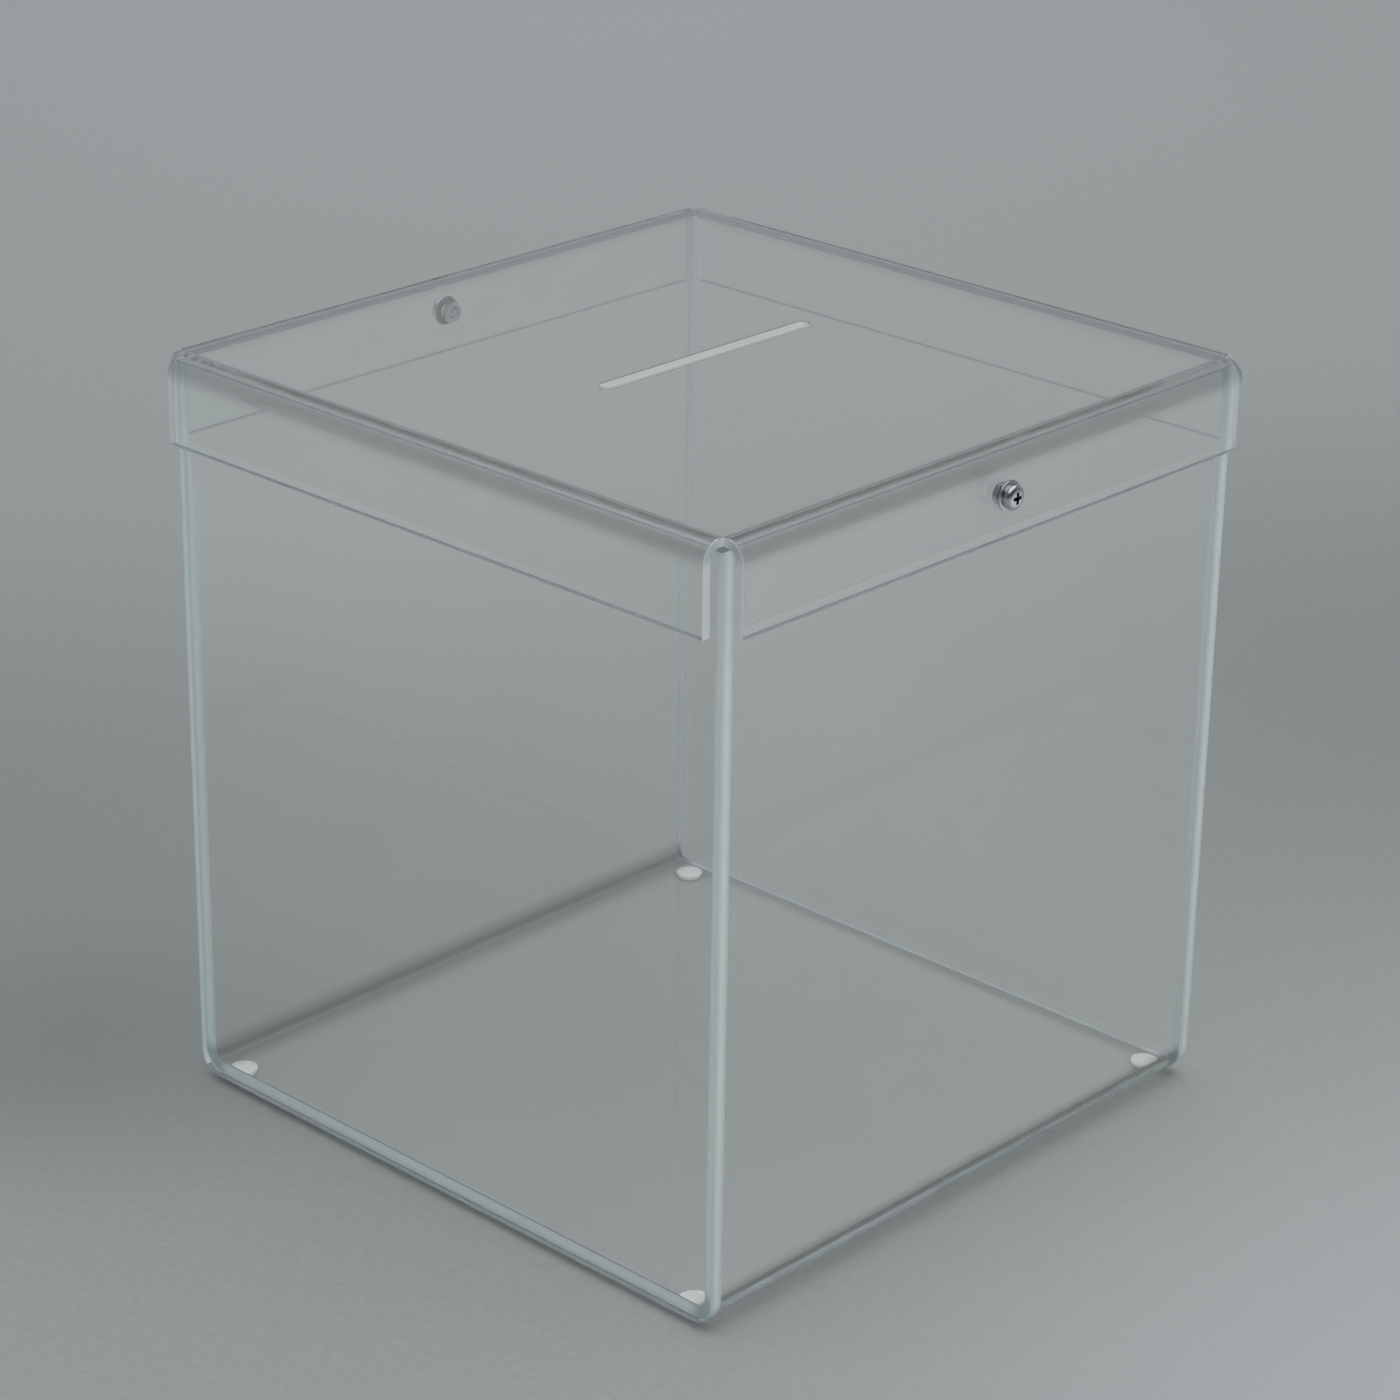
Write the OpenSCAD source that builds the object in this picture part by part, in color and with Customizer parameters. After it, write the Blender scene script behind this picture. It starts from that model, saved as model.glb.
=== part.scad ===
// Clear acrylic ballot box with a lift off lid that two screws hold.
// Units are millimetres. Z is up and the slot runs along X.
// The origin is at the middle of the base, on the surface that the feet stand on.

/* [Body] */
// Width of the body along the slot, outside
body_w = 300; // [200:1:400]
// Depth of the body from front to back, outside
body_d = 300; // [200:1:400]
// Height of the body from under its floor to its rim
body_h = 318.4; // [200:0.1:400]
// Thickness of the body sheet
body_t = 6; // [4:0.5:8]
// Outside radius of the two floor bends
body_bend_r = 10; // [8:0.5:16]

/* [Lid] */
// Thickness of the lid sheet
lid_t = 4; // [3:0.5:6]
// Space between the body wall and the inside of the lid flange
lid_gap = 3; // [3:0.5:6]
// Height of the lid from its top face to the edge of its flanges
lid_h = 37; // [25:1:60]
// Outside radius of the four lid bends
lid_bend_r = 8.5; // [6:0.5:14]
// Side of the square cut out of each lid corner
notch = 10; // [9:0.5:16]
// Space between the body rim and the underside of the lid
rim_gap = 0.6; // [0.2:0.1:1]

/* [Slot] */
// Length of the ballot slot
slot_l = 120; // [80:1:200]
// Width of the ballot slot
slot_w = 6; // [5:0.5:10]

/* [Fasteners] */
// Diameter of the screw shank
screw_d = 5; // [4:0.5:6]
// Diameter of the pan head
head_d = 10; // [8:0.5:12]
// Height of the pan head
head_h = 3.7; // [2.5:0.1:5]
// Outside diameter of the washer
washer_d = 12.5; // [10:0.5:15]
// Thickness of the washer
washer_t = 1; // [0.8:0.1:1.6]
// Size of the nut across its flats
nut_af = 8; // [7:0.5:10]
// Thickness of the nut
nut_t = 2.7; // [2:0.1:4]
// Height of the screw below the top face of the lid
screw_drop = 19.5; // [15:0.5:30]

/* [Feet] */
// Diameter of a foot where it is stuck to the floor
foot_d = 12; // [8:0.5:16]
// Height of a foot
foot_h = 3; // [2:0.5:5]
// Distance of the foot centres from the middle along X
foot_x = 138; // [100:1:190]
// Distance of the foot centres from the middle along Y
foot_y = 133; // [100:1:185]

/* [Hidden] */
$fn = 48;
// How far a cutting shape reaches past the faces that it cuts
cut = 1;
// Length of the bent shell between the end panels, and half the flat depth of its floor
shell_w = body_w - 2 * body_t;
flat_y = body_d / 2 - body_bend_r;
// Heights of the main faces
rim_z = foot_h + body_h;
lid_low = rim_z + rim_gap;
lid_top = lid_low + lid_t;
flange_low = lid_top - lid_h;
screw_z = lid_top - screw_drop;
// Outside faces of the lid, measured from the middle
lid_x = body_w / 2 + lid_gap + lid_t;
lid_y = body_d / 2 + lid_gap + lid_t;
// Inside radii of the bends
body_in_r = body_bend_r - body_t;
lid_in_r = lid_bend_r - lid_t;
// The shank ends just short of the wall that it clamps against
tip_gap = 0.3;
shank_l = washer_t + lid_t + lid_gap - tip_gap;
// Play of the shank in each hole that it passes through
flange_hole_d = screw_d + 0.6;
washer_hole_d = screw_d + 0.3;
nut_hole_d = screw_d + 0.1;
// Pan head: height of its straight side and width of the rounding above that side
head_side_h = 1.9;
head_round_w = 2.4;
// Cross recess: width and length of its arms, and its depth
recess_w = 1.1;
recess_l = 5.2;
recess_deep = 1.9;
// Rounding of a foot at the surface that it stands on
foot_round = 2;
// Angle between the points of a rounded profile
step_a = 18;

// Quarter of a bent sheet along X. It joins a floor below to a wall on the plus Y side.
module low_bend(len, r_out, r_in) {
    intersection() {
        difference() {
            rotate([0, 90, 0]) cylinder(h = len, r = r_out, center = true);
            rotate([0, 90, 0]) cylinder(h = len + 2 * cut, r = r_in, center = true);
        }
        translate([-len / 2 - cut, 0, -r_out - cut])
            cube([len + 2 * cut, r_out + cut, r_out + cut]);
    }
}

// Front wall, floor and back wall, bent from one sheet
module body_shell() {
    color([0.82, 0.9, 0.92, 0.35]) union() {
        translate([-shell_w / 2, -flat_y, foot_h])
            cube([shell_w, 2 * flat_y, body_t]);
        for (side = [0, 180]) rotate([0, 0, side]) {
            translate([0, flat_y, foot_h + body_bend_r])
                low_bend(shell_w, body_bend_r, body_in_r);
            translate([-shell_w / 2, body_d / 2 - body_t, foot_h + body_bend_r])
                cube([shell_w, body_t, body_h - body_bend_r]);
        }
    }
}

// Flat panel glued over the plus X end of the shell, with its lower corners rounded like the shell
module end_panel() {
    color([0.84, 0.92, 0.94, 0.35]) union() {
        translate([shell_w / 2, -body_d / 2, foot_h + body_bend_r])
            cube([body_t, body_d, body_h - body_bend_r]);
        translate([shell_w / 2, -flat_y, foot_h])
            cube([body_t, 2 * flat_y, body_h]);
        for (s = [-1, 1])
            translate([shell_w / 2, s * flat_y, foot_h + body_bend_r])
                rotate([0, 90, 0]) cylinder(h = body_t, r = body_bend_r);
    }
}

module right_end_panel() {
    end_panel();
}

module left_end_panel() {
    rotate([0, 0, 180]) end_panel();
}

// One bent down side of the lid, on the plus Y side
module lid_side(half_len, out_y) {
    translate([0, out_y - lid_bend_r, lid_top - lid_bend_r])
        rotate([180, 0, 0]) mirror([0, 1, 0])
            low_bend(2 * half_len, lid_bend_r, lid_in_r);
    translate([-half_len, out_y - lid_t, flange_low])
        cube([2 * half_len, lid_t, lid_h - lid_bend_r]);
}

// Lid sheet with four bent flanges, open corners, the slot and two screw holes
module lid() {
    color([0.86, 0.93, 0.95, 0.35]) difference() {
        union() {
            translate([-lid_x + lid_bend_r, -lid_y + notch, lid_low])
                cube([2 * (lid_x - lid_bend_r), 2 * (lid_y - notch), lid_t]);
            translate([-lid_x + notch, -lid_y + lid_bend_r, lid_low])
                cube([2 * (lid_x - notch), 2 * (lid_y - lid_bend_r), lid_t]);
            for (side = [0, 180]) {
                rotate([0, 0, side]) lid_side(lid_x - notch, lid_y);
                rotate([0, 0, side + 90]) lid_side(lid_y - notch, lid_x);
            }
        }
        translate([-(slot_l - slot_w) / 2, -slot_w / 2, lid_low - cut])
            cube([slot_l - slot_w, slot_w, lid_t + 2 * cut]);
        for (s = [-1, 1])
            translate([s * (slot_l - slot_w) / 2, 0, lid_low - cut])
                cylinder(h = lid_t + 2 * cut, d = slot_w);
        for (s = [-1, 1])
            translate([0, s * (lid_y - lid_t / 2), screw_z])
                rotate([90, 0, 0])
                    cylinder(h = lid_t + 2 * cut, d = flange_hole_d, center = true);
    }
}

// Places a fastener part made along plus Z on the front flange, pointing out
module at_front() {
    translate([0, -lid_y, screw_z]) rotate([90, 0, 0]) children();
}

// The same on the back flange
module at_back() {
    rotate([0, 0, 180]) at_front() children();
}

// Plain washer that lies on the flange
module washer() {
    color([0.72, 0.74, 0.77]) difference() {
        cylinder(h = washer_t, d = washer_d);
        translate([0, 0, -cut]) cylinder(h = washer_t + 2 * cut, d = washer_hole_d);
    }
}

// Pan head screw with a cross recess, its head outside the washer
module screw() {
    rounding = [for (a = [0:step_a:90])
        [head_d / 2 - head_round_w * (1 - cos(a)), head_side_h + (head_h - head_side_h) * sin(a)]];
    color([0.8, 0.82, 0.85]) difference() {
        union() {
            translate([0, 0, washer_t - shank_l])
                cylinder(h = shank_l + head_side_h, d = screw_d);
            translate([0, 0, washer_t]) rotate_extrude()
                polygon(concat([[0, 0], [head_d / 2, 0]], rounding, [[0, head_h]]));
        }
        for (turn = [0, 90])
            translate([0, 0, washer_t + head_h + (cut - recess_deep) / 2])
                rotate([0, 0, turn])
                    cube([recess_l, recess_w, recess_deep + cut], center = true);
    }
}

// Thin hexagon nut behind the flange
module nut() {
    color([0.7, 0.72, 0.75]) difference() {
        translate([0, 0, -lid_t - nut_t])
            cylinder(h = nut_t, d = nut_af / cos(30), $fn = 6);
        translate([0, 0, -lid_t - nut_t - cut])
            cylinder(h = nut_t + 2 * cut, d = nut_hole_d);
    }
}

module front_washer() {
    at_front() washer();
}

module front_screw() {
    at_front() screw();
}

module front_nut() {
    at_front() nut();
}

module back_washer() {
    at_back() washer();
}

module back_screw() {
    at_back() screw();
}

module back_nut() {
    at_back() nut();
}

// Clear bumper foot, widest where it is stuck to the floor and rounded below
module foot(x, y) {
    rounding = [for (a = [0:step_a:90])
        [foot_d / 2 - foot_round * (1 - sin(a)), foot_round * (1 - cos(a))]];
    color([0.88, 0.88, 0.84, 0.6]) translate([x, y, 0]) rotate_extrude()
        polygon(concat([[0, 0]], rounding, [[foot_d / 2, foot_h], [0, foot_h]]));
}

module front_left_foot() {
    foot(-foot_x, -foot_y);
}

module front_right_foot() {
    foot(foot_x, -foot_y);
}

module back_left_foot() {
    foot(-foot_x, foot_y);
}

module back_right_foot() {
    foot(foot_x, foot_y);
}

body_shell();
left_end_panel();
right_end_panel();
lid();
front_washer();
front_screw();
front_nut();
back_washer();
back_screw();
back_nut();
front_left_foot();
front_right_foot();
back_left_foot();
back_right_foot();
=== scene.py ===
# Looks of the clear acrylic ballot box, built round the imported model.
import math
import bmesh
import bpy
from mathutils import Matrix, Vector

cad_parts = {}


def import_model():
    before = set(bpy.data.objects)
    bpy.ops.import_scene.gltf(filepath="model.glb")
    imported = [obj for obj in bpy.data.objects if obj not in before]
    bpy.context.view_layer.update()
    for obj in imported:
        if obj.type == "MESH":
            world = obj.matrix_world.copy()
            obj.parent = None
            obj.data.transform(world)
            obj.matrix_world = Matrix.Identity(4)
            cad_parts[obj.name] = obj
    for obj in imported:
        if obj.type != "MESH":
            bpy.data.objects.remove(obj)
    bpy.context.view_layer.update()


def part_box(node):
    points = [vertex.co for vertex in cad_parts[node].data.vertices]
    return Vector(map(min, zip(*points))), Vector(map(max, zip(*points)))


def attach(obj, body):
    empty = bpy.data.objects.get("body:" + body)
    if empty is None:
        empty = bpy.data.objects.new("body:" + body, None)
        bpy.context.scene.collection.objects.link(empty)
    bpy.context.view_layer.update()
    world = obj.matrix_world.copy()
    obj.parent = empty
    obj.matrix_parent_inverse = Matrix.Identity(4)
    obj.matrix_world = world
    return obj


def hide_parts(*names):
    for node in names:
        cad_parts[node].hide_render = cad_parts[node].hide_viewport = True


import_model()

MM = 0.001

# Driving dimensions in millimetres that the frame's boxes do not give
LID_T = 4.0
BODY_BEND_R = 10.0
LID_BEND_R = 8.5
LID_NOTCH = 10.0
SLOT_L = 120.0
SLOT_W = 6.0
FLANGE_HOLE_D = 5.6
SCREW_D = 5.0
HEAD_SIDE_H = 1.9
HEAD_ROUND_W = 2.4
WASHER_HOLE_D = 5.3
NUT_HOLE_D = 5.1
NUT_FLATS = 8.0
FOOT_ROUND_R = 2.0

# Sheets in millimetres: how far their edges are eased, and the gap between faces that touch
EDGE_EASE = 0.25
CONTACT_GAP = 0.03
# Rows of points in a bend and in the hazy tail on each side of it, and the tail's share of the bend
BEND_STEPS = 40
TAIL_STEPS = 5
BEND_TAIL = 0.3
# Steps round a panel's corner, a slot's end, a flange hole and a whole turned part
CORNER_STEPS = 24
SLOT_END_STEPS = 16
HOLE_STEPS = 32
RING_STEPS = 72
# Least cosine that a mitred corner is worked out with
MITRE_LEAST = 0.3
# Points nearer than this are one point: in metres, and on turned parts in millimetres
MERGE_M = 1e-7
MERGE_MM = 1e-5
# A point nearer than this to a slice lies on it
SLICE_MM = 1e-6

# Places of a sheet's materials, and how upright the normal of a level cut edge is
CUT_EDGE = 1
LEVEL_EDGE = 2
LEVEL_NORMAL = 0.7
# Place of the second material: painted shade in a screw's recess, and a painted highlight on a foot's ring
SECOND = 1

# Thread in millimetres, how steeply its crest rises, and the rings in one turn of it
THREAD_PITCH = 0.8
THREAD_DEEP = 0.42
THREAD_RISE = 1.25
THREAD_RINGS = 10
# Screw in millimetres: the narrower tip, and the plain neck under the head
TIP_IN = 0.8
TIP_TAPER = 0.7
TIP_TAPER_L = 1.2
NECK_L = 0.1
# Pan head in millimetres: eased lower rim, steps of its rounding, and its slightly raised middle
HEAD_EASE = 0.2
HEAD_EASE_MID = 0.06
HEAD_STEPS = 12
CROWN_H = 0.12
CROWN_STEP = 0.05
CROWN_SHARE = 0.6
# Cross recess in millimetres: half length and half width of an arm above the head and at the bottom,
# the heights of those two places, and where its painted shade starts below the top
RECESS_UPPER = (3.0, 0.85)
RECESS_LOWER = (1.1, 0.5)
RECESS_ABOVE = 0.6
RECESS_DEEP = 1.9
RECESS_SHADE_DEEP = 0.15

# Washer and nut in millimetres, and the angle of the nut's corner chamfer in degrees
WASHER_EASE = 0.15
WASHER_EASE_MID = 0.05
NUT_BORE_EASE = 0.3
NUT_RINGS = (0.0, 0.1, 0.2, 0.3, 0.4)
NUT_FACE_SHARE = 0.97
NUT_CHAMFER = 60

# Foot in millimetres: the dimple below as heights and radii, the rim above, and the width of the whiter
# ring that paints a highlight
FOOT_DIMPLE = ((0.5, 0.0), (0.48, 1.0), (0.36, 1.9), (0.12, 2.7), (0.0, 3.3))
FOOT_STEPS = 10
FOOT_TOP_GAP = 0.05
FOOT_TOP_EASE = 0.25
FOOT_EASE_DOWN = 0.06
FOOT_EASE_IN = 0.08
FOOT_RING_W = 2.2

# Edges that are sharper than this many degrees stay sharp
SHARP_ANGLE = 32
NUT_SHARP_ANGLE = 25

# Camera fitted to the photograph: place in millimetres, angles in degrees, focal length in its pixels
CAM_AT = (-1121.0, -1051.0, 826.0)
CAM_YAW = 46.82
CAM_PITCH = 22.95
CAM_ROLL = 0.87
CAM_FOCAL_PX = 4024.0
PHOTO_PX = 1400.0
SENSOR_MM = 36.0
CLIP_NEAR_M = 0.05
CLIP_FAR_M = 100.0

# Limits of the light paths, which cross many faces of clear sheet
SHEET_BOUNCES = 80
DIFFUSE_BOUNCES = 4
TRANSPARENT_BOUNCES = 40
GLOSS_FILTER = 0.3
INDIRECT_CLAMP = 6.0
SEED = 7

# In the looks below a noise is its scale and detail, a bump is its strength and its distance in metres,
# and a range is its low and high end

# Clear sheet: colours, clearness of body and lid, and the tint that builds up inside it
SHEET_TINT = (0.993, 0.999, 0.998)
SHEET_MARKED = (0.97, 0.98, 0.98)
BODY_CLEAR = 0.972
LID_CLEAR = 0.985
ACRYLIC_IOR = 1.49
DEPTH_TINT = (0.75, 0.92, 0.95, 1.0)
DEPTH_DENSITY = 0.9
# Handling marks and slow waves on the sheet
SCRATCH_STRETCH = (30.0, 210.0, 900.0)
SCRATCH_TURN = (0.5, 0.35, 0.8)
SCRATCH_NOISE = (1.0, 2.0)
SCRATCH_RANGE = (0.66, 0.74)
SMUDGE_NOISE = (14.0, 5.0)
SMUDGE_RANGE = (0.45, 0.75)
SMUDGE_SHARE = 0.35
WORN_ROUGH = (0.0, 0.05)
WAVE_NOISE = (9.0, 1.0)
WAVE_BUMP = (0.02, 0.0004)
# Bends: roughness and painted shade colour at their middle, how strong both are on each sheet, and how
# they swell
BEND_HAZE = 0.2
BEND_PAINTED_SHADE = (0.42, 0.43, 0.43)
BODY_BEND_HAZE_AND_SHADE = 1.0
LID_BEND_HAZE_AND_SHADE = 0.48
HAZE_POWER = 1.2
# Level cut edges: a dark colour that paints shade on them
LEVEL_PAINTED_SHADE = (0.2, 0.24, 0.25)
LEVEL_PAINTED_SHADE_MARKED = (0.16, 0.2, 0.21)
LEVEL_CLEAR = 0.3
# Upright cut edges, with stops of place and tone from one face of the sheet to the other, which paint
# light and shade across the edge
SATIN_BLUE = (0.88, 0.97, 1.0)
SATIN_GREEN = (0.89, 0.98, 0.96)
SATIN_DARK = (0.38, 0.47, 0.5)
LID_EDGE_PALE = (0.95, 0.98, 0.97)
LID_EDGE_PALER = (0.97, 0.98, 0.98)
SHELL_STOPS = ((0.0, 0.55), (0.25, 0.8), (0.5, 1.0), (0.8, 0.9), (1.0, 0.6))
PANEL_STOPS = ((0.0, 0.55), (0.25, 0.7), (0.5, 1.0), (0.75, 0.85), (1.0, 0.6))
LID_STOPS = ((0.0, 1.0), (0.5, 1.0), (1.0, 0.9))
SATIN_CLEAR = 0.15
SATIN_GRAIN = (300.0, 4.0)
SATIN_CLOUD = (9.0, 2.0)
SATIN_CLOUD_RANGE = (0.4, 0.6)
SATIN_ROUGH = (0.25, 0.45)
SATIN_BUMP = (0.15, 0.0001)
# Painted shade on a cut edge in a bend and along the floor
BEND_DARKER = 1.4
FLOOR_EDGE_DARKER = 0.05
# Steel outside, and dark steel in the recess that paints shade there
STEEL_BRIGHT = (0.62, 0.65, 0.68)
STEEL_DULL = (0.48, 0.5, 0.52)
RECESS_PAINTED_SHADE = (0.09, 0.1, 0.11)
RECESS_PAINTED_SHADE_DULL = (0.05, 0.055, 0.06)
STEEL_GRAIN = (260.0, 6.0)
STEEL_ROUGH = (0.06, 0.2)
STEEL_BUMP = (0.08, 0.0001)
# Feet, clear in the middle, and whiter in the ring, which paints a highlight
FOOT_PALE = (0.98, 0.99, 0.98)
FOOT_DULL = (0.94, 0.95, 0.94)
FOOT_CLEAR = 0.96
FOOT_RING_CLEAR = 0.1
FOOT_IOR = 1.5
FOOT_GRAIN = (420.0, 4.0)
FOOT_ROUGH = (0.15, 0.35)
FOOT_BUMP = (0.15, 0.0002)

# Floor paper in metres: colours, and soft round patches of painted light and painted shadow as X, Y,
# radius, share and colour
FLOOR_R = 14.0
FLOOR_SIDES = 96
FLOOR_CLOUD = (1.2, 3.0)
FLOOR_GRAIN = (260.0, 6.0)
FLOOR_GRAIN_RANGE = (-1.6, 1.6)
FLOOR_ROUGH = 0.8
FLOOR_SPECULAR = 0.1
FLOOR_LOW = (0.332, 0.346, 0.343)
FLOOR_HIGH = (0.357, 0.371, 0.368)
FLOOR_PAINTED_LIGHT = (0.46, 0.48, 0.485)
FLOOR_SHADE = (0.18, 0.195, 0.195)
FLOOR_WHITE = (0.92, 0.93, 0.93)
FLOOR_PATCHES = (
    (1.4, 1.5, 2.0, 0.7, FLOOR_PAINTED_LIGHT),
    (-0.2, -0.75, 0.8, 0.5, FLOOR_PAINTED_LIGHT),
    (0.3, -0.65, 0.7, 0.9, FLOOR_PAINTED_LIGHT),
    (0.0, -0.35, 0.3, 0.5, FLOOR_PAINTED_LIGHT),
    (-0.1, 0.42, 0.55, 0.47, FLOOR_SHADE),
    (0.6, 0.0, 0.6, 0.45, FLOOR_SHADE),
    (-0.17, 0.21, 0.17, 0.5, FLOOR_SHADE),
    (0.0, 0.0, 0.26, 0.3, FLOOR_SHADE),
)
# Painted reflection: white patches that only mirrored light sees, as X, Y, radius and share
FLOOR_PAINTED_REFLECTIONS = ((0.48, -0.8, 0.75, 1.0), (-0.78, 0.62, 0.55, 0.8))

# Sky: its strength rises with a direction's X plus Y for the backdrop, and with its Z for the ceiling
SKY_COLOUR = (0.95, 0.99, 1.0, 1.0)
BACKDROP_SPAN = (-0.6, 0.9)
BACKDROP_STRENGTH = (0.1, 0.33)
CEILING_SPAN = (0.55, 0.85)
CEILING_STRENGTH = (0.0, 1.05)
# Softbox: place and side in metres, and power in watts
KEY_AT = (-0.9, -2.1, 2.15)
KEY_SIZE = 2.2
KEY_POWER = 28.5


def box_mm(node):
    """Lowest and highest corner of a node in millimetres."""
    return [[v / MM for v in corner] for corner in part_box(node)]


# Settings and camera
def settings():
    scene = bpy.context.scene
    scene.view_settings.view_transform = "Standard"
    cycles = scene.cycles
    cycles.max_bounces = SHEET_BOUNCES
    cycles.transmission_bounces = SHEET_BOUNCES
    cycles.glossy_bounces = SHEET_BOUNCES
    cycles.diffuse_bounces = DIFFUSE_BOUNCES
    cycles.transparent_max_bounces = TRANSPARENT_BOUNCES
    cycles.volume_bounces = 0
    cycles.caustics_reflective = True
    cycles.caustics_refractive = True
    cycles.blur_glossy = GLOSS_FILTER
    cycles.sample_clamp_indirect = INDIRECT_CLAMP
    cycles.use_denoising = True
    cycles.seed = SEED


def camera():
    """Camera at the photograph's place."""
    yaw, pitch, roll = (math.radians(a) for a in (CAM_YAW, CAM_PITCH, CAM_ROLL))
    across = math.cos(pitch)
    forward = Vector((math.sin(yaw) * across, math.cos(yaw) * across, -math.sin(pitch)))
    level = Vector((math.cos(yaw), -math.sin(yaw), 0.0))
    upright = level.cross(forward)
    right = level * math.cos(roll) + upright * math.sin(roll)
    up = upright * math.cos(roll) - level * math.sin(roll)
    data = bpy.data.cameras.new("camera")
    data.sensor_width = SENSOR_MM
    data.lens = CAM_FOCAL_PX / PHOTO_PX * data.sensor_width
    data.clip_start = CLIP_NEAR_M
    data.clip_end = CLIP_FAR_M
    cam = bpy.data.objects.new("camera", data)
    bpy.context.scene.collection.objects.link(cam)
    turn = Matrix((right, up, -forward)).transposed().to_4x4()
    cam.matrix_world = Matrix.Translation(Vector(CAM_AT) * MM) @ turn
    bpy.context.scene.camera = cam


# Node helpers
def new_material(name):
    material = bpy.data.materials.new(name)
    material.use_nodes = True
    nodes = material.node_tree.nodes
    shader = next(n for n in nodes if n.type == "BSDF_PRINCIPLED")
    return material, nodes, material.node_tree.links, shader


def object_place(nodes):
    """The point's place on the object, in metres."""
    return nodes.new("ShaderNodeTexCoord").outputs["Object"]


def noise(nodes, links, scale, detail, vector):
    node = nodes.new("ShaderNodeTexNoise")
    node.inputs["Scale"].default_value = scale
    node.inputs["Detail"].default_value = detail
    links.new(vector, node.inputs["Vector"])
    return node.outputs["Fac"]


def mapped(nodes, links, value, taken=(0.0, 1.0), given=(0.0, 1.0), curve="LINEAR"):
    """The value moved from the range taken to the range given, and kept inside it."""
    node = nodes.new("ShaderNodeMapRange")
    node.interpolation_type = curve
    for key, limit in zip(("From Min", "From Max", "To Min", "To Max"), (*taken, *given)):
        node.inputs[key].default_value = limit
    links.new(value, node.inputs["Value"])
    return node.outputs["Result"]


def tones(nodes, links, factor, stops):
    """A grey that runs through the stops, which are places from 0 to 1 with a tone each."""
    node = nodes.new("ShaderNodeValToRGB")
    bar = node.color_ramp
    while len(bar.elements) < len(stops):
        bar.elements.new(0.5)
    for element, (place, tone) in zip(bar.elements, stops):
        element.position = place
        element.color = (tone, tone, tone, 1.0)
    links.new(factor, node.inputs["Fac"])
    return node.outputs["Color"]


def stored(nodes, name):
    """A number that the mesh code keeps at each point."""
    node = nodes.new("ShaderNodeAttribute")
    node.attribute_name = name
    return node.outputs["Fac"]


def maths(nodes, links, operation, a, b):
    node = nodes.new("ShaderNodeMath")
    node.operation = operation
    for socket, value in zip(node.inputs, (a, b)):
        if isinstance(value, float):
            socket.default_value = value
        else:
            links.new(value, socket)
    return node.outputs["Value"]


def mixed_colour(nodes, links, factor, a, b):
    node = nodes.new("ShaderNodeMix")
    node.data_type = "RGBA"
    for name, value in (("A", a), ("B", b)):
        if isinstance(value, tuple):
            node.inputs[name].default_value = (*value, 1.0)
        else:
            links.new(value, node.inputs[name])
    links.new(factor, node.inputs["Factor"])
    return node.outputs["Result"]


def bump(nodes, links, shader, height, strength, distance):
    node = nodes.new("ShaderNodeBump")
    node.inputs["Strength"].default_value = strength
    node.inputs["Distance"].default_value = distance
    links.new(height, node.inputs["Height"])
    links.new(node.outputs["Normal"], shader.inputs["Normal"])


# Materials
def acrylic_material(name, tint_and_shade, marked, clearness):
    """Clear cast sheet with faint handling marks, hazier where it was heated and bent, and painted shade
    darkening the bend. With a dark colour it paints shade on level cut edges.
    """
    material, nodes, links, shader = new_material(name)
    place = object_place(nodes)
    stretch = nodes.new("ShaderNodeMapping")
    stretch.inputs["Scale"].default_value = SCRATCH_STRETCH
    stretch.inputs["Rotation"].default_value = SCRATCH_TURN
    links.new(place, stretch.inputs["Vector"])
    scratch = noise(nodes, links, *SCRATCH_NOISE, stretch.outputs["Vector"])
    scratch = mapped(nodes, links, scratch, taken=SCRATCH_RANGE)
    smudge = mapped(nodes, links, noise(nodes, links, *SMUDGE_NOISE, place), taken=SMUDGE_RANGE)
    worn = maths(nodes, links, "MAXIMUM", scratch, maths(nodes, links, "MULTIPLY", smudge, SMUDGE_SHARE))
    bend = stored(nodes, "bend")
    haze = maths(nodes, links, "MULTIPLY", bend, BEND_HAZE)
    rough = maths(nodes, links, "ADD", mapped(nodes, links, worn, given=WORN_ROUGH), haze)
    links.new(rough, shader.inputs["Roughness"])
    colour = mixed_colour(nodes, links, worn, tint_and_shade, marked)
    # Painted shade: the colour darkens towards the middle of a bend
    colour = mixed_colour(nodes, links, bend, colour, BEND_PAINTED_SHADE)
    links.new(colour, shader.inputs["Base Color"])
    bump(nodes, links, shader, noise(nodes, links, *WAVE_NOISE, place), *WAVE_BUMP)
    shader.inputs["Transmission Weight"].default_value = clearness
    shader.inputs["IOR"].default_value = ACRYLIC_IOR
    inside = nodes.new("ShaderNodeVolumeAbsorption")
    inside.inputs["Color"].default_value = DEPTH_TINT
    inside.inputs["Density"].default_value = DEPTH_DENSITY
    out = next(n for n in nodes if n.type == "OUTPUT_MATERIAL")
    links.new(inside.outputs["Volume"], out.inputs["Volume"])
    return material


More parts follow.
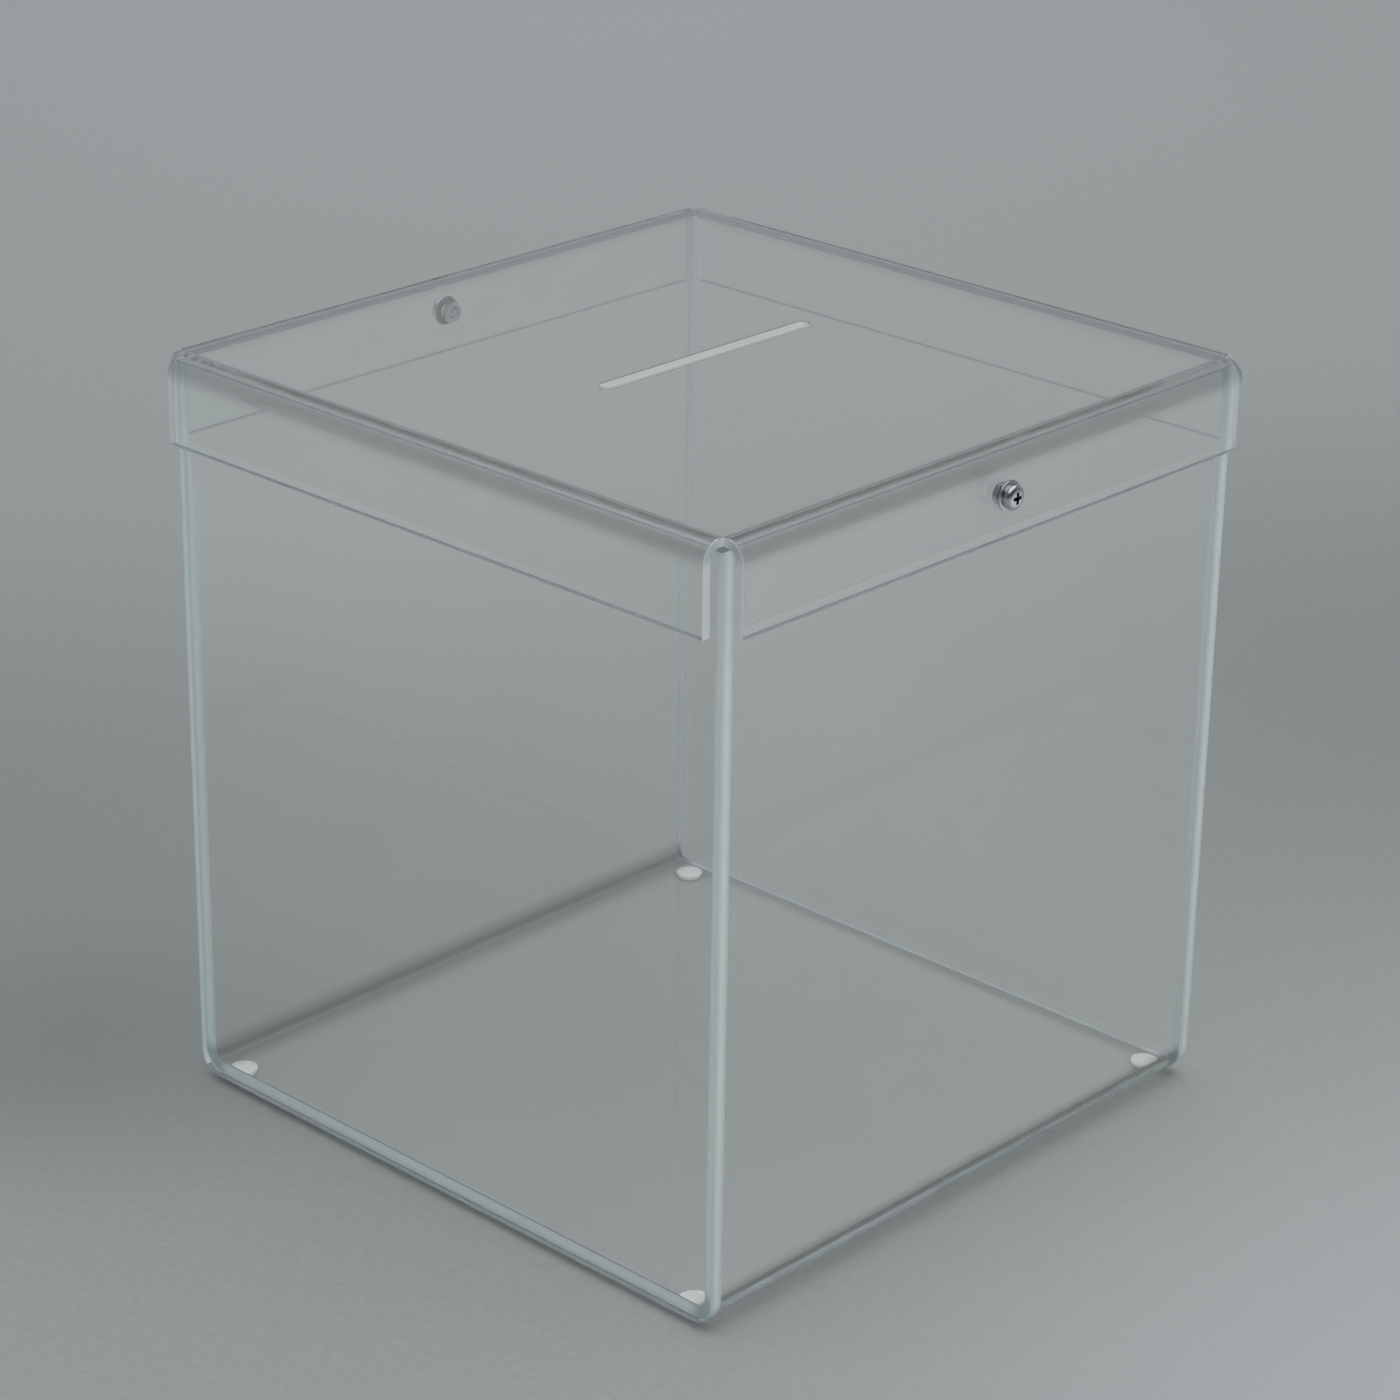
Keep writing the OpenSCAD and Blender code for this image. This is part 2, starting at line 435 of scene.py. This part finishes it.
def satin_material(name, stops, pale, other):
    """Cut edge of a sheet, smoothed but short of a full polish. Its tone across the edge is painted light
    and shade, with more painted shade in a bend and along the floor.
    """
    material, nodes, links, shader = new_material(name)
    place = object_place(nodes)
    grain = noise(nodes, links, *SATIN_GRAIN, place)
    cloud = mapped(nodes, links, noise(nodes, links, *SATIN_CLOUD, place), taken=SATIN_CLOUD_RANGE)
    links.new(mapped(nodes, links, grain, given=SATIN_ROUGH), shader.inputs["Roughness"])
    # Painted light and shade across the edge, then painted shade in a bend and along the floor
    tone = tones(nodes, links, stored(nodes, "depth"), stops)
    for kept, darker in (("bend", BEND_DARKER), ("level", FLOOR_EDGE_DARKER)):
        loss = maths(nodes, links, "MULTIPLY", stored(nodes, kept), darker)
        tone = maths(nodes, links, "MULTIPLY", tone, maths(nodes, links, "SUBTRACT", 1.0, loss))
    pale = mixed_colour(nodes, links, cloud, pale, other)
    links.new(mixed_colour(nodes, links, tone, SATIN_DARK, pale), shader.inputs["Base Color"])
    bump(nodes, links, shader, grain, *SATIN_BUMP)
    shader.inputs["Transmission Weight"].default_value = SATIN_CLEAR
    shader.inputs["IOR"].default_value = ACRYLIC_IOR
    return material


def steel_material(name, bright, dull):
    """Bright plated steel. With dark colours it paints shade in the screw's recess."""
    material, nodes, links, shader = new_material(name)
    grain = noise(nodes, links, *STEEL_GRAIN, object_place(nodes))
    links.new(mapped(nodes, links, grain, given=STEEL_ROUGH), shader.inputs["Roughness"])
    links.new(mixed_colour(nodes, links, grain, bright, dull), shader.inputs["Base Color"])
    bump(nodes, links, shader, grain, *STEEL_BUMP)
    shader.inputs["Metallic"].default_value = 1.0
    return material


def bumper_material(name, clearness):
    """Soft bumper plastic. The clear one is the foot's body; the whiter, less clear one paints a highlight
    ring.
    """
    material, nodes, links, shader = new_material(name)
    grain = noise(nodes, links, *FOOT_GRAIN, object_place(nodes))
    links.new(mapped(nodes, links, grain, given=FOOT_ROUGH), shader.inputs["Roughness"])
    links.new(mixed_colour(nodes, links, grain, FOOT_PALE, FOOT_DULL), shader.inputs["Base Color"])
    bump(nodes, links, shader, grain, *FOOT_BUMP)
    shader.inputs["Transmission Weight"].default_value = clearness
    shader.inputs["IOR"].default_value = FOOT_IOR
    return material


# Mesh helpers
def finish_mesh(name, bm, materials):
    """The mesh as an object. Where a sheet has three materials, its level cut edges get the third, which
    paints shade on them.
    """
    bmesh.ops.remove_doubles(bm, verts=bm.verts, dist=MERGE_M)
    bmesh.ops.recalc_face_normals(bm, faces=bm.faces)
    if len(materials) > LEVEL_EDGE:
        for face in bm.faces:
            if face.material_index == CUT_EDGE and abs(face.normal.z) > LEVEL_NORMAL:
                face.material_index = LEVEL_EDGE
    mesh = bpy.data.meshes.new(name)
    bm.to_mesh(mesh)
    bm.free()
    for material in materials:
        mesh.materials.append(material)
    obj = bpy.data.objects.new(name, mesh)
    bpy.context.scene.collection.objects.link(obj)
    return obj


def arc(cx, cy, r, start, end, steps):
    """Points on a round stretch from one angle to another, in degrees."""
    angles = [math.radians(start + (end - start) * i / steps) for i in range(steps + 1)]
    return [(cx + r * math.cos(angle), cy + r * math.sin(angle)) for angle in angles]


def inset(loop, distance):
    """The loop moved to its left side by distance, with mitred corners."""
    moved = []
    for i in range(len(loop)):
        before, here, after = (Vector(loop[(i + k) % len(loop)]) for k in (-1, 0, 1))
        d0, d1 = (here - before).normalized(), (after - here).normalized()
        n0, n1 = Vector((-d0.y, d0.x)), Vector((-d1.y, d1.x))
        mitre = (n0 + n1).normalized()
        moved.append(tuple(here + mitre * (distance / max(MITRE_LEAST, mitre.dot(n0)))))
    return moved


def sheet(loops, thick):
    """A flat sheet with eased edges, its depth from 0 to thick. The outer loop runs anticlockwise and
    holes run clockwise. The faces have the first material and the cut edges the second."""
    bm = bmesh.new()
    levels = [(0.0, EDGE_EASE), (EDGE_EASE, 0.0), (thick - EDGE_EASE, 0.0), (thick, EDGE_EASE)]
    rings = [[[bm.verts.new((x, y, depth)) for x, y in inset(loop, inward)] for loop in loops]
             for depth, inward in levels]
    for level in (rings[0], rings[-1]):
        edges = [bm.edges.new((ring[i - 1], ring[i])) for ring in level for i in range(len(ring))]
        bmesh.ops.triangle_fill(bm, use_beauty=True, use_dissolve=False, edges=edges)
    for lower, upper in zip(rings[:-1], rings[1:]):
        for a, b in zip(lower, upper):
            for i in range(len(a)):
                face = bm.faces.new((a[i - 1], a[i], b[i], b[i - 1]))
                face.material_index = CUT_EDGE
    through = bm.verts.layers.float.new("depth")
    for v in bm.verts:
        v[through] = v.co.z / thick
    return bm


def slice_along(bm, axis, places):
    """Adds a line of points across the sheet at each place along the axis."""
    for at in places:
        geom = bm.verts[:] + bm.edges[:] + bm.faces[:]
        bmesh.ops.bisect_plane(bm, geom=geom, dist=SLICE_MM, plane_co=axis * at, plane_no=axis)


def bend_places(flat, radius):
    """Places across the sheet that need a line of points: the bend itself and its hazy tails."""
    length = radius * math.pi / 2
    parts = [i / BEND_STEPS for i in range(BEND_STEPS + 1)]
    parts += [-BEND_TAIL * i / TAIL_STEPS for i in range(1, TAIL_STEPS + 1)]
    parts += [1 + BEND_TAIL * i / TAIL_STEPS for i in range(1, TAIL_STEPS + 1)]
    return [s * (flat + length * part) for s in (-1, 1) for part in parts]


def bend_haze(across, flat, radius):
    """How far into the heated zone a place across the sheet is, from 0 outside it to 1 at its middle. It
    weights the haze and the painted shade of a bend.
    """
    part = (abs(across) - flat) / (radius * math.pi / 2)
    inside = (part + BEND_TAIL) / (1 + 2 * BEND_TAIL)
    return math.sin(math.pi * inside) ** HAZE_POWER if 0 < inside < 1 else 0.0


def bend_point(across, depth, flat, radius):
    """Place across and place down from the outer face for a point at a depth in the sheet."""
    length = radius * math.pi / 2
    past = abs(across) - flat
    if past <= 0:
        return across, depth
    side = 1.0 if across >= 0 else -1.0
    turn = min(past / length, 1.0) * math.pi / 2
    r = radius - depth
    return side * (flat + r * math.sin(turn)), radius - r * math.cos(turn) + max(0.0, past - length)


# Sheets
def body_shell(name, box, thick, materials):
    """Body of one sheet: front wall, floor and back wall. Its level number is 1 on the floor, where it
    paints shade on the cut edge.
    """
    lo, hi = box
    flat = hi[1] - BODY_BEND_R
    reach = flat + BODY_BEND_R * math.pi / 2 + (hi[2] - lo[2] - BODY_BEND_R)
    x0, x1 = lo[0] + CONTACT_GAP, hi[0] - CONTACT_GAP
    bm = sheet([[(x0, -reach), (x1, -reach), (x1, reach), (x0, reach)]], thick)
    slice_along(bm, Vector((0, 1, 0)), bend_places(flat, BODY_BEND_R))
    # The bend number sets the haze and the painted shade of the bends
    haze = bm.verts.layers.float.new("bend")
    level = bm.verts.layers.float.new("level")
    for v in bm.verts:
        v[haze] = BODY_BEND_HAZE_AND_SHADE * bend_haze(v.co.y, flat, BODY_BEND_R)
        v[level] = 1 - min(1.0, max(0.0, abs(v.co.y) - flat) / BODY_BEND_R)
        y, up = bend_point(v.co.y, v.co.z, flat, BODY_BEND_R)
        v.co = Vector((v.co.x, y, lo[2] + up)) * MM
    return finish_mesh(name, bm, materials)


def end_panel(name, box, materials):
    """Flat end panel glued over the end of the shell, with its lower corners rounded like the shell."""
    lo, hi = box
    r = BODY_BEND_R
    loop = [(hi[1], hi[2]), (lo[1], hi[2])]
    loop += arc(lo[1] + r, lo[2] + r, r, 180, 270, CORNER_STEPS)
    loop += arc(hi[1] - r, lo[2] + r, r, 270, 360, CORNER_STEPS)
    bm = sheet([loop], hi[0] - lo[0])
    for v in bm.verts:
        v.co = Vector((lo[0] + v.co.z, v.co.x, v.co.y)) * MM
    return finish_mesh(name, bm, materials)


def lid(name, box, screw_z, materials):
    """Lid of one sheet with four bent flanges, open corners, the slot and two screw holes."""
    lo, hi = box
    flat_x, flat_y = hi[0] - LID_BEND_R, hi[1] - LID_BEND_R
    bend = LID_BEND_R * math.pi / 2
    drop = hi[2] - lo[2] - LID_BEND_R
    end_x, end_y = flat_x + bend + drop, flat_y + bend + drop
    side_x, side_y = hi[0] - LID_NOTCH, hi[1] - LID_NOTCH
    outer = [(side_x, -end_y), (side_x, -side_y), (end_x, -side_y),
             (end_x, side_y), (side_x, side_y), (side_x, end_y),
             (-side_x, end_y), (-side_x, side_y), (-end_x, side_y),
             (-end_x, -side_y), (-side_x, -side_y), (-side_x, -end_y)]
    slot_x = (SLOT_L - SLOT_W) / 2
    slot = arc(slot_x, 0, SLOT_W / 2, 90, -90, SLOT_END_STEPS)
    slot += arc(-slot_x, 0, SLOT_W / 2, -90, -270, SLOT_END_STEPS)
    hole_y = flat_y + bend + (hi[2] - LID_BEND_R - screw_z)
    holes = [arc(0, s * hole_y, FLANGE_HOLE_D / 2, 360, 0, HOLE_STEPS)[:-1] for s in (-1, 1)]
    bm = sheet([outer, slot] + holes, LID_T)
    slice_along(bm, Vector((1, 0, 0)), bend_places(flat_x, LID_BEND_R))
    slice_along(bm, Vector((0, 1, 0)), bend_places(flat_y, LID_BEND_R))
    # The bend number sets the haze and the painted shade of the bends
    haze = bm.verts.layers.float.new("bend")
    for v in bm.verts:
        x, y, depth = v.co
        v[haze] = LID_BEND_HAZE_AND_SHADE * max(bend_haze(x, flat_x, LID_BEND_R), bend_haze(y, flat_y, LID_BEND_R))
        if abs(x) > flat_x:
            x, down = bend_point(x, depth, flat_x, LID_BEND_R)
        else:
            y, down = bend_point(y, depth, flat_y, LID_BEND_R)
        v.co = Vector((x, y, hi[2] - down)) * MM
    return finish_mesh(name, bm, materials)


# Helpers for turned parts
def turned(rings, closed):
    """A solid of rings round the Z axis. A ring is a height and a radius, or a function that gives both
    for an angle. A closed list of rings goes round a bore, and an open one starts and ends on the axis."""
    bm = bmesh.new()
    made = []
    for ring in rings:
        row = []
        for i in range(RING_STEPS):
            angle = 2 * math.pi * i / RING_STEPS
            z, r = ring(angle) if callable(ring) else ring
            row.append(bm.verts.new((r * math.cos(angle), r * math.sin(angle), z)))
        made.append(row)
    pairs = list(zip(made[:-1], made[1:])) + ([(made[-1], made[0])] if closed else [])
    for a, b in pairs:
        for i in range(RING_STEPS):
            bm.faces.new((a[i - 1], a[i], b[i], b[i - 1]))
    bmesh.ops.remove_doubles(bm, verts=bm.verts, dist=MERGE_MM)
    bmesh.ops.recalc_face_normals(bm, faces=bm.faces)
    return bm


def cut_from(obj, tool):
    """Takes the tool's solid away from the object's mesh and deletes the tool."""
    change = obj.modifiers.new("cut", "BOOLEAN")
    change.operation = "DIFFERENCE"
    change.solver = "EXACT"
    change.object = tool
    seen = obj.evaluated_get(bpy.context.evaluated_depsgraph_get())
    mesh = bpy.data.meshes.new_from_object(seen)
    obj.modifiers.clear()
    obj.data = mesh
    bpy.data.objects.remove(tool)


def smooth(obj, angle):
    """Smooth shading, with the edges above the angle left sharp."""
    obj.data.shade_smooth()
    obj.data.set_sharp_from_angle(angle=math.radians(angle))
    return obj


def outward(obj, side, face_y, height):
    """Stands a part made along +Z on the flange. Side -1 is the front flange and +1 the back one."""
    turn = Matrix(((-side, 0, 0), (0, 0, side), (0, 1, 0))).to_4x4()
    move = Matrix.Translation(Vector((0.0, side * face_y, height)))
    obj.data.transform(Matrix.Scale(MM, 4) @ move @ turn)
    return obj


# Fasteners, made along +Z with the outside of the flange at height 0
def thread_ring(z, radius, deep):
    """A ring of the thread, whose radius depends on the angle."""
    def at(angle):
        phase = (z / THREAD_PITCH - angle / (2 * math.pi)) % 1.0
        crest = min(1.0, THREAD_RISE * (1 - abs(2 * phase - 1)))
        return z, radius - deep * (1 - crest)
    return at


def recess_arm(turn, top):
    """One arm of the cross recess: a slab that narrows downwards."""
    bm = bmesh.new()
    corners = [(1, 1), (-1, 1), (-1, -1), (1, -1)]
    ends = []
    for (half_l, half_w), z in ((RECESS_UPPER, top + RECESS_ABOVE), (RECESS_LOWER, top - RECESS_DEEP)):
        ends.append([bm.verts.new((half_l * x, half_w * y, z)) for x, y in corners])
    upper, lower = ends
    bm.faces.new(upper)
    bm.faces.new(lower)
    for i in range(len(corners)):
        bm.faces.new((upper[i - 1], upper[i], lower[i], lower[i - 1]))
    bmesh.ops.rotate(bm, verts=bm.verts, matrix=Matrix.Rotation(math.radians(turn), 3, "Z"))
    return finish_mesh("recess_arm", bm, [])


def screw(name, washer_t, head_d, head_h, tip, materials):
    """Pan head screw with a tapered cross recess and a rolled thread."""
    r, half = SCREW_D / 2, head_d / 2
    steps = int((washer_t - tip) / (THREAD_PITCH / THREAD_RINGS))
    rings = [(tip, 0.0), (tip, r - TIP_IN)]
    for i in range(1, steps):
        z = tip + (washer_t - NECK_L - tip) * i / steps
        lead = min(1.0, (z - tip) / TIP_TAPER_L)
        rings.append(thread_ring(z, r - TIP_TAPER * (1 - lead), THREAD_DEEP * lead))
    top = washer_t + head_h
    under = washer_t + CONTACT_GAP
    rings += [(under, r), (under, half - HEAD_EASE),
              (under + HEAD_EASE_MID, half - HEAD_EASE_MID), (under + HEAD_EASE, half)]
    for i in range(HEAD_STEPS + 1):
        a = math.pi / 2 * i / HEAD_STEPS
        rings.append((washer_t + HEAD_SIDE_H + (head_h - CROWN_H - HEAD_SIDE_H) * math.sin(a),
                      half - HEAD_ROUND_W * (1 - math.cos(a))))
    rings += [(top - CROWN_STEP, (half - HEAD_ROUND_W) * CROWN_SHARE), (top, 0.0)]
    obj = finish_mesh(name, turned(rings, False), materials)
    for turn in (0, 90):
        cut_from(obj, recess_arm(turn, top))
    # Faces deep in the recess get the dark steel: painted shade
    for face in obj.data.polygons:
        centre = face.center
        if washer_t < centre.z < top - RECESS_SHADE_DEEP and centre.xy.length < half - HEAD_ROUND_W:
            face.material_index = SECOND
    return smooth(obj, SHARP_ANGLE)


def washer(name, outer_d, thick, materials):
    """Plain washer with softened rims."""
    ro, ri, ease, mid = outer_d / 2, WASHER_HOLE_D / 2, WASHER_EASE, WASHER_EASE_MID
    rings = [(ease, ri), (0, ri + ease), (0, ro - ease), (mid, ro - mid), (ease, ro),
             (thick - ease, ro), (thick - mid, ro - mid), (thick, ro - ease), (thick, ri + ease),
             (thick - ease, ri)]
    return smooth(finish_mesh(name, turned(rings, True), materials), SHARP_ANGLE)


def nut(name, thick, materials):
    """Hexagon nut behind the flange, with chamfered corners and a chamfered bore."""
    half, bore = NUT_FLATS / 2, NUT_HOLE_D / 2

    def six_sided(z):
        def at(angle):
            flat = half / math.cos((angle % (math.pi / 3)) - math.pi / 6)
            cone = half * NUT_FACE_SHARE + min(z, thick - z) * math.tan(math.radians(NUT_CHAMFER))
            return z - LID_T - thick, min(flat, cone)
        return at

    low, high = -LID_T - thick, -LID_T
    heights = list(NUT_RINGS) + [thick - z for z in reversed(NUT_RINGS)]
    rings = [(low + NUT_BORE_EASE, bore), (low, bore + NUT_BORE_EASE)]
    rings += [six_sided(z) for z in heights]
    rings += [(high, bore + NUT_BORE_EASE), (high - NUT_BORE_EASE, bore)]
    return smooth(finish_mesh(name, turned(rings, True), materials), NUT_SHARP_ANGLE)


# Feet
def foot(name, box, materials):
    """Round bumper foot with a dimple below and a whiter ring round its rim, which paints a highlight."""
    lo, hi = box
    r, high = (hi[0] - lo[0]) / 2, hi[2] - lo[2] - FOOT_TOP_GAP
    rings = list(FOOT_DIMPLE)
    for i in range(FOOT_STEPS + 1):
        a = math.radians(90 * i / FOOT_STEPS)
        rings.append((FOOT_ROUND_R * (1 - math.cos(a)), r - FOOT_ROUND_R + FOOT_ROUND_R * math.sin(a)))
    rings += [(hi[2] - lo[2] - FOOT_TOP_EASE, r), (high - FOOT_EASE_DOWN, r - FOOT_EASE_IN),
              (high, r - FOOT_TOP_EASE), (high, 0.0)]
    bm = turned(rings, False)
    # Faces in the rim's ring get the whiter plastic: a painted highlight
    for face in bm.faces:
        if face.calc_center_median().xy.length > r - FOOT_RING_W:
            face.material_index = SECOND
    obj = smooth(finish_mesh(name, bm, materials), SHARP_ANGLE)
    middle = Vector(((lo[0] + hi[0]) / 2, (lo[1] + hi[1]) / 2, lo[2]))
    obj.data.transform(Matrix.Scale(MM, 4) @ Matrix.Translation(middle))
    return obj


# Stage and light
def soft_spot(nodes, links, place, x, y, radius, share):
    """A round patch with a soft edge, from the share given at its middle to nothing at its radius."""
    move = nodes.new("ShaderNodeMapping")
    move.vector_type = "TEXTURE"
    move.inputs["Location"].default_value = (x, y, 0.0)
    move.inputs["Scale"].default_value = (radius, radius, 1.0)
    links.new(place, move.inputs["Vector"])
    ball = nodes.new("ShaderNodeTexGradient")
    ball.gradient_type = "SPHERICAL"
    links.new(move.outputs["Vector"], ball.inputs["Vector"])
    return mapped(nodes, links, ball.outputs["Fac"], given=(0.0, share), curve="SMOOTHSTEP")


def stage():
    """Floor of grey paper with soft patches of painted light and painted shadow, and white patches of
    painted reflection that only mirrored light sees.
    """
    bm = bmesh.new()
    bmesh.ops.create_circle(bm, cap_ends=True, segments=FLOOR_SIDES, radius=FLOOR_R)
    material, nodes, links, shader = new_material("floor_paper")
    place = object_place(nodes)
    cloud = noise(nodes, links, *FLOOR_CLOUD, place)
    grain = mapped(nodes, links, noise(nodes, links, *FLOOR_GRAIN, place), given=FLOOR_GRAIN_RANGE)
    paper = mixed_colour(nodes, links, maths(nodes, links, "ADD", cloud, grain), FLOOR_LOW, FLOOR_HIGH)
    # Painted light and painted shadow: soft patches mixed into the floor's colour
    for x, y, radius, share, colour in FLOOR_PATCHES:
        spot = soft_spot(nodes, links, place, x, y, radius, share)
        paper = mixed_colour(nodes, links, spot, paper, colour)
    # Painted reflection: white patches that only glossy rays see, not rays through the sheets
    rays = nodes.new("ShaderNodeLightPath").outputs
    mirrored = maths(nodes, links, "SUBTRACT", rays["Is Glossy Ray"], rays["Is Transmission Ray"])
    mirrored = maths(nodes, links, "MAXIMUM", mirrored, 0.0)
    for x, y, radius, share in FLOOR_PAINTED_REFLECTIONS:
        spot = soft_spot(nodes, links, place, x, y, radius, share)
        painted_reflection = maths(nodes, links, "MULTIPLY", spot, mirrored)
        paper = mixed_colour(nodes, links, painted_reflection, paper, FLOOR_WHITE)
    links.new(paper, shader.inputs["Base Color"])
    shader.inputs["Roughness"].default_value = FLOOR_ROUGH
    shader.inputs["Specular IOR Level"].default_value = FLOOR_SPECULAR
    floor = finish_mesh("floor", bm, [material])


def key_light():
    """One large softbox above the camera's side, left out of reflections and refractions."""
    data = bpy.data.lights.new("key", "AREA")
    data.shape = "SQUARE"
    data.size = KEY_SIZE
    data.energy = KEY_POWER
    key = bpy.data.objects.new("key", data)
    bpy.context.scene.collection.objects.link(key)
    key.location = KEY_AT
    key.rotation_mode = "QUATERNION"
    key.rotation_quaternion = Vector(KEY_AT).to_track_quat("Z", "Y")
    key.visible_transmission = False
    key.visible_glossy = False


def world():
    """Soft ceiling light, a paler backdrop and a darker room behind the camera."""
    studio = bpy.data.worlds.new("studio")
    bpy.context.scene.world = studio
    studio.use_nodes = True
    nodes, links = studio.node_tree.nodes, studio.node_tree.links
    sky = next(n for n in nodes if n.type == "BACKGROUND")
    parts = nodes.new("ShaderNodeSeparateXYZ")
    links.new(nodes.new("ShaderNodeTexCoord").outputs["Generated"], parts.inputs["Vector"])
    along = maths(nodes, links, "ADD", parts.outputs["X"], parts.outputs["Y"])
    backdrop = mapped(nodes, links, along, BACKDROP_SPAN, BACKDROP_STRENGTH, "SMOOTHSTEP")
    ceiling = mapped(nodes, links, parts.outputs["Z"], CEILING_SPAN, CEILING_STRENGTH, "SMOOTHSTEP")
    links.new(maths(nodes, links, "ADD", backdrop, ceiling), sky.inputs["Strength"])
    sky.inputs["Color"].default_value = SKY_COLOUR


def place_piece(piece, node, body, slot):
    """Puts a piece in its node's place. Only the clear sheets cast no shadow."""
    piece.visible_shadow = slot != "clear_acrylic"
    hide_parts(node)
    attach(piece, body)


settings()
camera()
stage()
key_light()
world()

# Materials of the pieces
clear = acrylic_material("clear_acrylic", SHEET_TINT, SHEET_MARKED, BODY_CLEAR)
clear_lid = acrylic_material("clear_lid", SHEET_TINT, SHEET_MARKED, LID_CLEAR)
# Level cut edges: clear sheet in a dark colour, painted shade
level_edge_shade = acrylic_material("level_edge_painted_shade", LEVEL_PAINTED_SHADE, LEVEL_PAINTED_SHADE_MARKED, LEVEL_CLEAR)
shell_edge = satin_material("shell_edge", SHELL_STOPS, SATIN_BLUE, SATIN_GREEN)
panel_edge = satin_material("panel_edge", PANEL_STOPS, SATIN_BLUE, SATIN_GREEN)
lid_edge = satin_material("lid_edge", LID_STOPS, LID_EDGE_PALE, LID_EDGE_PALER)
steel = steel_material("bright_steel", STEEL_BRIGHT, STEEL_DULL)
# Dark steel that paints shade in the screw's recess
recess_painted_shade = steel_material("recess_painted_shade", RECESS_PAINTED_SHADE, RECESS_PAINTED_SHADE_DULL)
# Whiter bumper plastic that paints a highlight ring on each foot
ring_highlight = bumper_material("bumper_ring_highlight", FOOT_RING_CLEAR)
bumper = bumper_material("clear_bumper", FOOT_CLEAR)

# Sizes that the frame's boxes give, in millimetres
panel_box = box_mm("left_end_panel")
lid_box = box_mm("lid")
screw_box = box_mm("front_screw")
washer_box = box_mm("front_washer")
nut_box = box_mm("front_nut")
sheet_t = panel_box[1][0] - panel_box[0][0]
flange_y = lid_box[1][1]
screw_z = (washer_box[0][2] + washer_box[1][2]) / 2
washer_t = washer_box[1][1] - washer_box[0][1]
washer_d = washer_box[1][0] - washer_box[0][0]
nut_t = nut_box[1][1] - nut_box[0][1]
head_d = screw_box[1][0] - screw_box[0][0]
head_h = -flange_y - screw_box[0][1] - washer_t
screw_tip = -flange_y - screw_box[1][1]

# Pieces in their places
piece = body_shell("body_shell_sheet", box_mm("body_shell"), sheet_t, [clear, shell_edge, level_edge_shade])
place_piece(piece, "body_shell", "box", "clear_acrylic")
for node in ("left_end_panel", "right_end_panel"):
    piece = end_panel(node + "_sheet", box_mm(node), [clear, panel_edge, level_edge_shade])
    place_piece(piece, node, "box", "clear_acrylic")
piece = lid("lid_sheet", lid_box, screw_z, [clear_lid, lid_edge, level_edge_shade])
place_piece(piece, "lid", "lid", "clear_acrylic")
for side, end in ((-1, "front"), (1, "back")):
    piece = screw(end + "_pan_head_screw", washer_t, head_d, head_h, screw_tip, [steel, recess_painted_shade])
    place_piece(outward(piece, side, flange_y, screw_z), end + "_screw", end + "_screw", "bright_steel")
    piece = washer(end + "_plain_washer", washer_d, washer_t, [steel])
    place_piece(outward(piece, side, flange_y, screw_z), end + "_washer", end + "_washer", "bright_steel")
    piece = nut(end + "_hexagon_nut", nut_t, [steel])
    place_piece(outward(piece, side, flange_y, screw_z), end + "_nut", "lid", "bright_steel")
for node in ("front_left_foot", "front_right_foot", "back_left_foot", "back_right_foot"):
    piece = foot(node + "_bumper", box_mm(node), [bumper, ring_highlight])
    place_piece(piece, node, "box", "clear_bumper")
